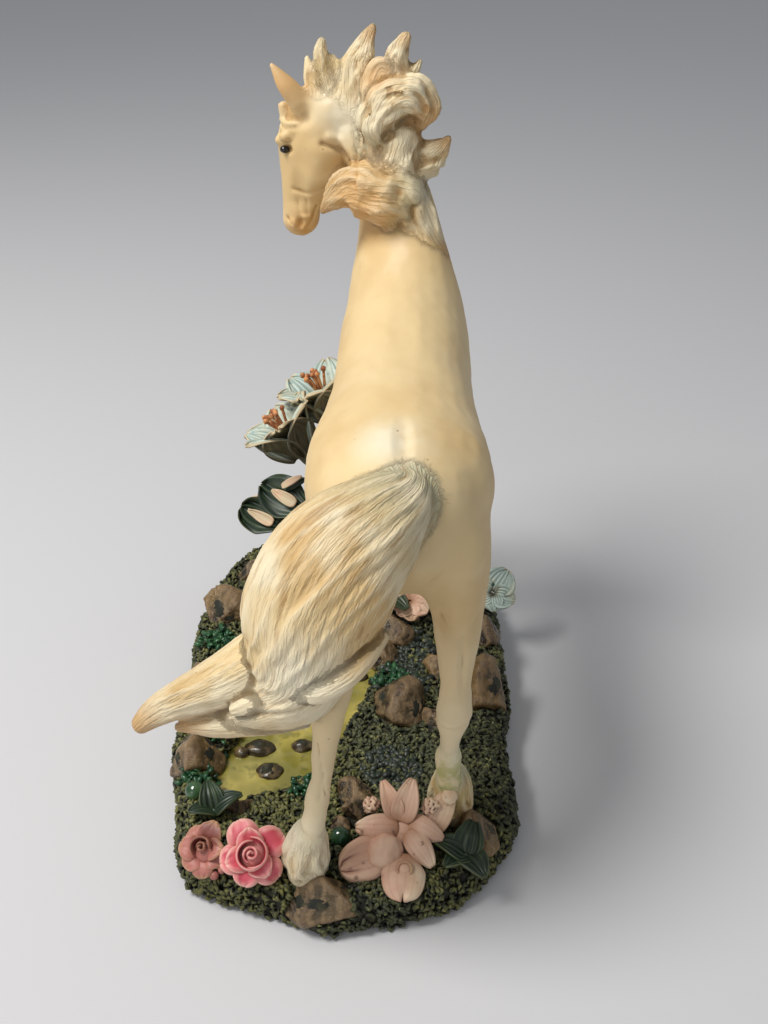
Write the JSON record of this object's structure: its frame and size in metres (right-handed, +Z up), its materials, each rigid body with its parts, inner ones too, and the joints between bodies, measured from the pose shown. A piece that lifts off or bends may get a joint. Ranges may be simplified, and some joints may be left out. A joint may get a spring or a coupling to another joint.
{
  "type": "unicorn figurine",
  "caption": "Cast resin unicorn with a swept tail and wind-blown mane, walking across an oval mossy ground with a small pool, stones and glued flowers.",
  "frame": {"origin": "middle of the flat underside of the ground casting", "axes": "+Z up, +Y the way the horse walks, +X to the horse's right"},
  "size_m": [0.1148, 0.1862, 0.2109],
  "materials": {
    "cream_resin": "satin varnish over cream paint, worn",
    "mossy_ground": "matt painted moss and stones",
    "tinted_pool": "glossy poured resin",
    "pink_rose": "matt paint with pale edges",
    "faded_rose": "matt faded paint",
    "peach_blossom": "matt paint, worn",
    "mint_lily": "matt paint with dark veins",
    "green_leaf": "satin paint",
    "green_berry": "glossy paint"
  },
  "bodies": {
    "root": {"horse": "cream_resin", "ground": "mossy_ground", "pool": "tinted_pool", "rose_large": "pink_rose", "rose_small": "faded_rose", "blossom": "peach_blossom", "lily_lower": "mint_lily", "lily_upper": "mint_lily", "side_flower": "mint_lily", "pink_flower": "peach_blossom", "leaf_by_rose": "green_leaf", "leaf_by_blossom": "green_leaf", "leaf_cream_edge": "green_leaf", "grass_leaves": "green_leaf", "berry_left": "green_berry", "berry_middle": "green_berry"}
  },
  "joints": []
}
